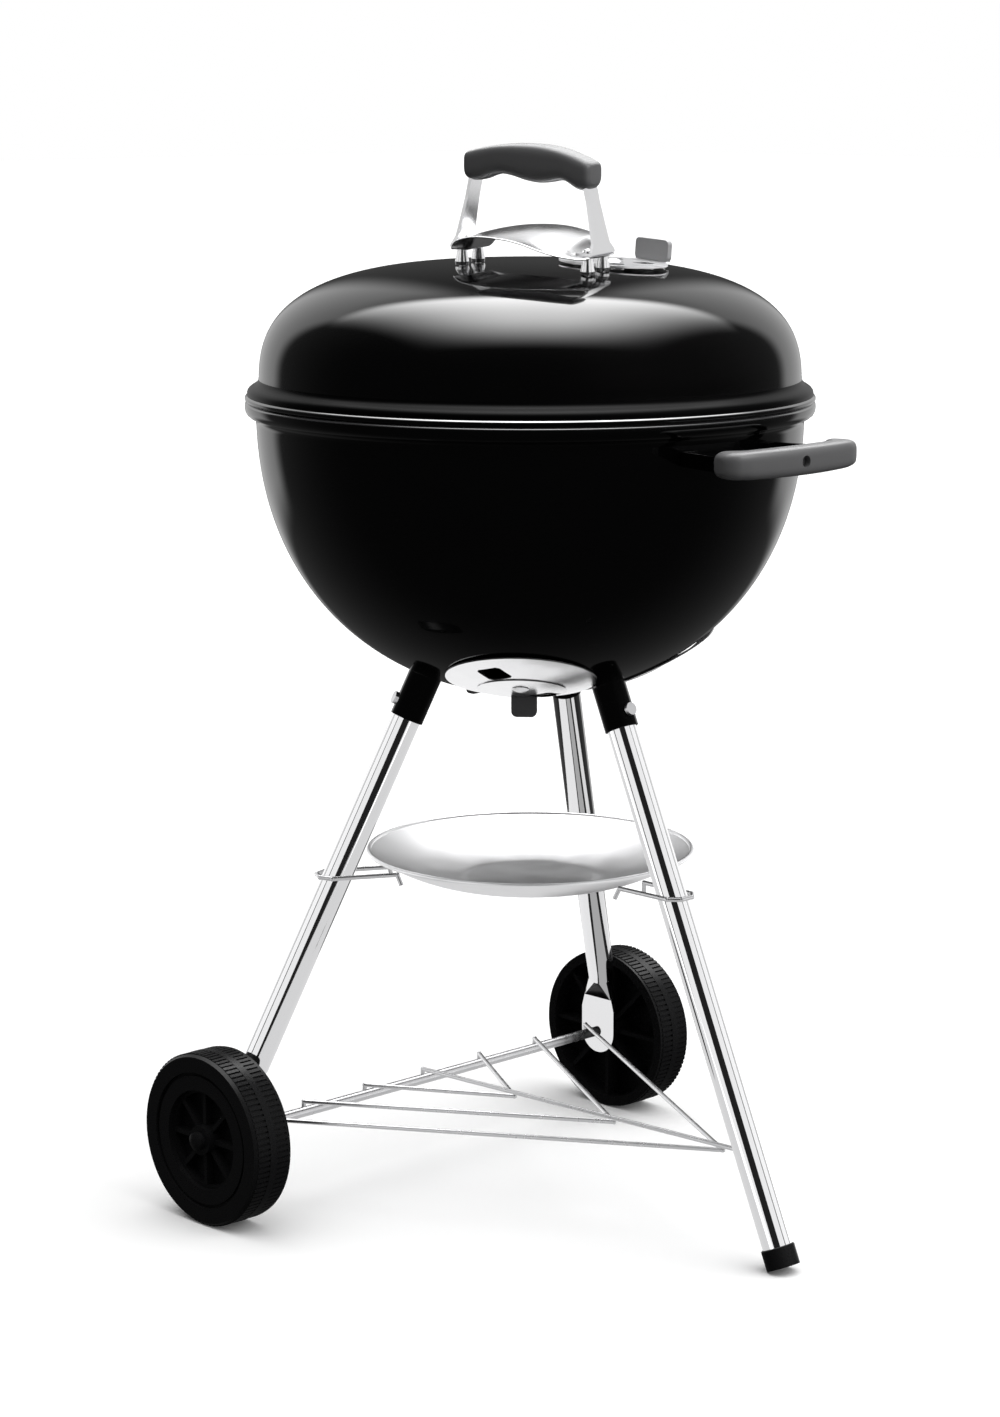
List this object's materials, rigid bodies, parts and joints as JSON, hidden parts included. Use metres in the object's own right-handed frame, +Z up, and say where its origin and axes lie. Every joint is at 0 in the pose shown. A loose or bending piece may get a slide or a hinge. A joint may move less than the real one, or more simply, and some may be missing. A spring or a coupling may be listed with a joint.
{
  "type": "kettle charcoal grill",
  "caption": "Round kettle charcoal grill with a domed lid, vented bowl, tubular legs, ash plate, wire rack and wheels on an axle.",
  "frame": {"origin": "on the ground under the middle of the whole outline", "axes": "+Z up, the front leg and the side handle point to -Y, the wheels' axle lies along X behind the bowl"},
  "size_m": [0.5556, 0.5598, 0.9295],
  "materials": {
    "enamel": "gloss black porcelain enamel on steel",
    "strap": "bright satin",
    "alloy": "satin, spun",
    "nylon": "fine grain",
    "grate": "plated wire",
    "plated": "zinc plate",
    "leg_chrome": "bright plate",
    "black_plastic": "moulded, light sheen"
  },
  "bodies": {
    "kettle_and_stand": {"bowl_shell": "enamel", "grate_brackets": "plated", "damper_rivets": "alloy", "side_handle_bracket": "enamel", "side_handle_grip": "nylon", "side_handle_screw": "nylon", "leg_socket_front": "enamel", "leg_socket_left": "enamel", "leg_socket_right": "enamel", "socket_screws": "plated", "leg_front": "leg_chrome", "leg_left": "leg_chrome", "leg_right": "leg_chrome", "foot_cap": "black_plastic", "ash_clip_front": "plated", "ash_clip_left": "plated", "ash_clip_right": "plated", "axle": "plated", "axle_washers": "plated", "hub_caps": "black_plastic", "bottom_rack": "plated"},
    "lid": {"lid_shell": "enamel", "lid_strap": "strap", "lid_grip": "nylon", "heat_shield": "strap", "lid_bolts": "strap", "lid_vent_rivet": "alloy"},
    "lid_vent": {"lid_vent_plate": "alloy", "lid_vent_tab": "nylon"},
    "cooking_grate": {"cooking_grate": "grate", "grate_loops": "grate"},
    "charcoal_grate": {"charcoal_grate": "grate"},
    "bowl_damper_left": {"damper_left": "alloy", "damper_tab_left": "nylon"},
    "bowl_damper_right": {"damper_right": "alloy", "damper_tab_right": "nylon"},
    "bowl_damper_rear": {"damper_rear": "alloy", "damper_tab_rear": "nylon"},
    "ash_plate": {"ash_plate": "alloy"},
    "wheel_left": {"wheel_left": "black_plastic"},
    "wheel_right": {"wheel_right": "black_plastic"}
  },
  "joints": [
    {"name": "lid_lift", "type": "slide", "parent": "kettle_and_stand", "child": "lid", "axis": [0, 0, 1], "range_m": [0, 0.3]},
    {"name": "lid_vent_turn", "type": "hinge", "parent": "lid", "child": "lid_vent", "pos_m": [0.02029, -0.0441, 0.82828], "axis": [0.016, -0.0622, 0.9979], "range_deg": [0, 45]},
    {"name": "cooking_grate_lift", "type": "slide", "parent": "kettle_and_stand", "child": "cooking_grate", "axis": [0, 0, 1], "range_m": [0, 0.05]},
    {"name": "charcoal_grate_lift", "type": "slide", "parent": "kettle_and_stand", "child": "charcoal_grate", "axis": [0, 0, 1], "range_m": [0, 0.06]},
    {"name": "bowl_damper_left_turn", "type": "hinge", "parent": "kettle_and_stand", "child": "bowl_damper_left", "pos_m": [-0.07924, -0.03395, 0.47881], "axis": [-0.3131, -0.2722, -0.9099], "range_deg": [0, 55]},
    {"name": "bowl_damper_right_turn", "type": "hinge", "parent": "kettle_and_stand", "child": "bowl_damper_right", "pos_m": [0.07924, -0.03395, 0.47881], "axis": [0.3131, -0.2722, -0.9099], "range_deg": [0, 55]},
    {"name": "bowl_damper_rear_turn", "type": "hinge", "parent": "kettle_and_stand", "child": "bowl_damper_rear", "pos_m": [0, 0.13993, 0.47881], "axis": [0, 0.4149, -0.9099], "range_deg": [0, 55]},
    {"name": "ash_plate_lift", "type": "slide", "parent": "kettle_and_stand", "child": "ash_plate", "axis": [0, 0, 1], "range_m": [0, 0.012]},
    {"name": "wheel_left_spin", "type": "hinge", "parent": "kettle_and_stand", "child": "wheel_left", "pos_m": [-0.2515, 0.16843, 0.0765], "axis": [1, 0, 0], "continuous": true},
    {"name": "wheel_right_spin", "type": "hinge", "parent": "kettle_and_stand", "child": "wheel_right", "pos_m": [0.2515, 0.16843, 0.0765], "axis": [1, 0, 0], "continuous": true}
  ]
}
